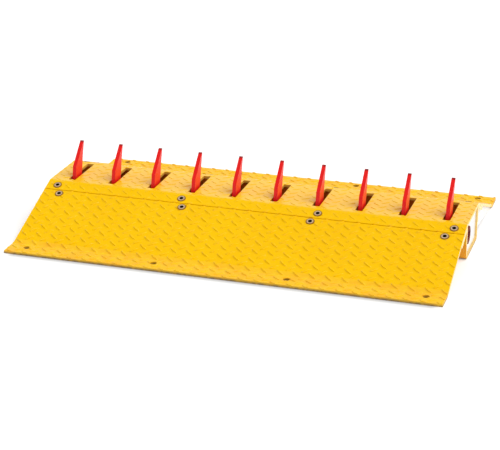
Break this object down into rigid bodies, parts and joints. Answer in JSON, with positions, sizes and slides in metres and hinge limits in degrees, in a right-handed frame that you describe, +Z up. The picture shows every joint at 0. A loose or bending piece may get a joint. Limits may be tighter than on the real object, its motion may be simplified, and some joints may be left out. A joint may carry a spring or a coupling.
{
  "type": "tyre spike strip",
  "caption": "Surface-mounted one-way tyre spike strip: tread-plate cover and drive-over ramps on a channel, with a row of sprung red spikes that fold under traffic from one side.",
  "frame": {"origin": "middle of the strip's footprint, on the ground", "axes": "+X along the row of spikes, +Y from the drive-in side to the far side (the way the spikes fold), +Z up"},
  "size_m": [0.914, 0.61, 0.1485],
  "materials": {
    "yellow_paint": "traffic yellow enamel on steel tread plate and sheet, semi-gloss",
    "red_paint": "signal red enamel, semi-gloss",
    "zinc_plate": "pale galvanised sheet",
    "zinc_bolts": "yellow-passivated zinc plate",
    "bare_steel": "bare mild steel",
    "spring_steel": "oil-tempered wire",
    "bronze_bush": "oiled sintered bronze, dark brown"
  },
  "bodies": {
    "strip": {"base_channel": "yellow_paint", "top_cover": "yellow_paint", "front_ramp": "yellow_paint", "rear_ramp": "yellow_paint", "front_joint_angle": "yellow_paint", "rear_joint_angle": "yellow_paint", "front_ramp_ribs": "yellow_paint", "rear_ramp_ribs": "yellow_paint", "rear_ramp_webs": "zinc_plate", "left_end_plate": "zinc_plate", "right_end_plate": "zinc_plate", "left_shaft_bush": "bronze_bush", "right_shaft_bush": "bronze_bush", "left_rib": "bare_steel", "centre_rib": "bare_steel", "right_rib": "bare_steel", "pivot_shaft": "red_paint", "shaft_collars": "bare_steel", "spacer_sleeves": "bare_steel", "stop_bar": "bare_steel", "front_cover_bolts": "zinc_bolts", "front_ramp_bolts": "zinc_bolts", "rear_cover_bolts": "zinc_bolts", "rear_ramp_bolts": "zinc_bolts", "spring_1": "spring_steel", "spring_2": "spring_steel", "spring_3": "spring_steel", "spring_4": "spring_steel", "spring_5": "spring_steel", "spring_6": "spring_steel", "spring_7": "spring_steel", "spring_8": "spring_steel", "spring_9": "spring_steel", "spring_10": "spring_steel"},
    "spike_1": {"spike_1": "red_paint"},
    "spike_2": {"spike_2": "red_paint"},
    "spike_3": {"spike_3": "red_paint"},
    "spike_4": {"spike_4": "red_paint"},
    "spike_5": {"spike_5": "red_paint"},
    "spike_6": {"spike_6": "red_paint"},
    "spike_7": {"spike_7": "red_paint"},
    "spike_8": {"spike_8": "red_paint"},
    "spike_9": {"spike_9": "red_paint"},
    "spike_10": {"spike_10": "red_paint"}
  },
  "joints": [
    {"name": "spike_1_fold", "type": "hinge", "parent": "strip", "child": "spike_1", "pos_m": [-0.4113, -0.038, 0.0465], "axis": [-1, 0, 0], "range_deg": [0, 42], "stiffness_Nm_per_rad": 3, "springref_deg": -25.78, "deforming": ["spring_1"]},
    {"name": "spike_2_fold", "type": "hinge", "parent": "strip", "child": "spike_2", "pos_m": [-0.3199, -0.038, 0.0465], "axis": [-1, 0, 0], "range_deg": [0, 42], "stiffness_Nm_per_rad": 3, "springref_deg": -25.78, "deforming": ["spring_2"]},
    {"name": "spike_3_fold", "type": "hinge", "parent": "strip", "child": "spike_3", "pos_m": [-0.2285, -0.038, 0.0465], "axis": [-1, 0, 0], "range_deg": [0, 42], "stiffness_Nm_per_rad": 3, "springref_deg": -25.78, "deforming": ["spring_3"]},
    {"name": "spike_4_fold", "type": "hinge", "parent": "strip", "child": "spike_4", "pos_m": [-0.1371, -0.038, 0.0465], "axis": [-1, 0, 0], "range_deg": [0, 42], "stiffness_Nm_per_rad": 3, "springref_deg": -25.78, "deforming": ["spring_4"]},
    {"name": "spike_5_fold", "type": "hinge", "parent": "strip", "child": "spike_5", "pos_m": [-0.0457, -0.038, 0.0465], "axis": [-1, 0, 0], "range_deg": [0, 42], "stiffness_Nm_per_rad": 3, "springref_deg": -25.78, "deforming": ["spring_5"]},
    {"name": "spike_6_fold", "type": "hinge", "parent": "strip", "child": "spike_6", "pos_m": [0.0457, -0.038, 0.0465], "axis": [-1, 0, 0], "range_deg": [0, 42], "stiffness_Nm_per_rad": 3, "springref_deg": -25.78, "deforming": ["spring_6"]},
    {"name": "spike_7_fold", "type": "hinge", "parent": "strip", "child": "spike_7", "pos_m": [0.1371, -0.038, 0.0465], "axis": [-1, 0, 0], "range_deg": [0, 42], "stiffness_Nm_per_rad": 3, "springref_deg": -25.78, "deforming": ["spring_7"]},
    {"name": "spike_8_fold", "type": "hinge", "parent": "strip", "child": "spike_8", "pos_m": [0.2285, -0.038, 0.0465], "axis": [-1, 0, 0], "range_deg": [0, 42], "stiffness_Nm_per_rad": 3, "springref_deg": -25.78, "deforming": ["spring_8"]},
    {"name": "spike_9_fold", "type": "hinge", "parent": "strip", "child": "spike_9", "pos_m": [0.3199, -0.038, 0.0465], "axis": [-1, 0, 0], "range_deg": [0, 42], "stiffness_Nm_per_rad": 3, "springref_deg": -25.78, "deforming": ["spring_9"]},
    {"name": "spike_10_fold", "type": "hinge", "parent": "strip", "child": "spike_10", "pos_m": [0.4113, -0.038, 0.0465], "axis": [-1, 0, 0], "range_deg": [0, 42], "stiffness_Nm_per_rad": 3, "springref_deg": -25.78, "deforming": ["spring_10"]}
  ]
}
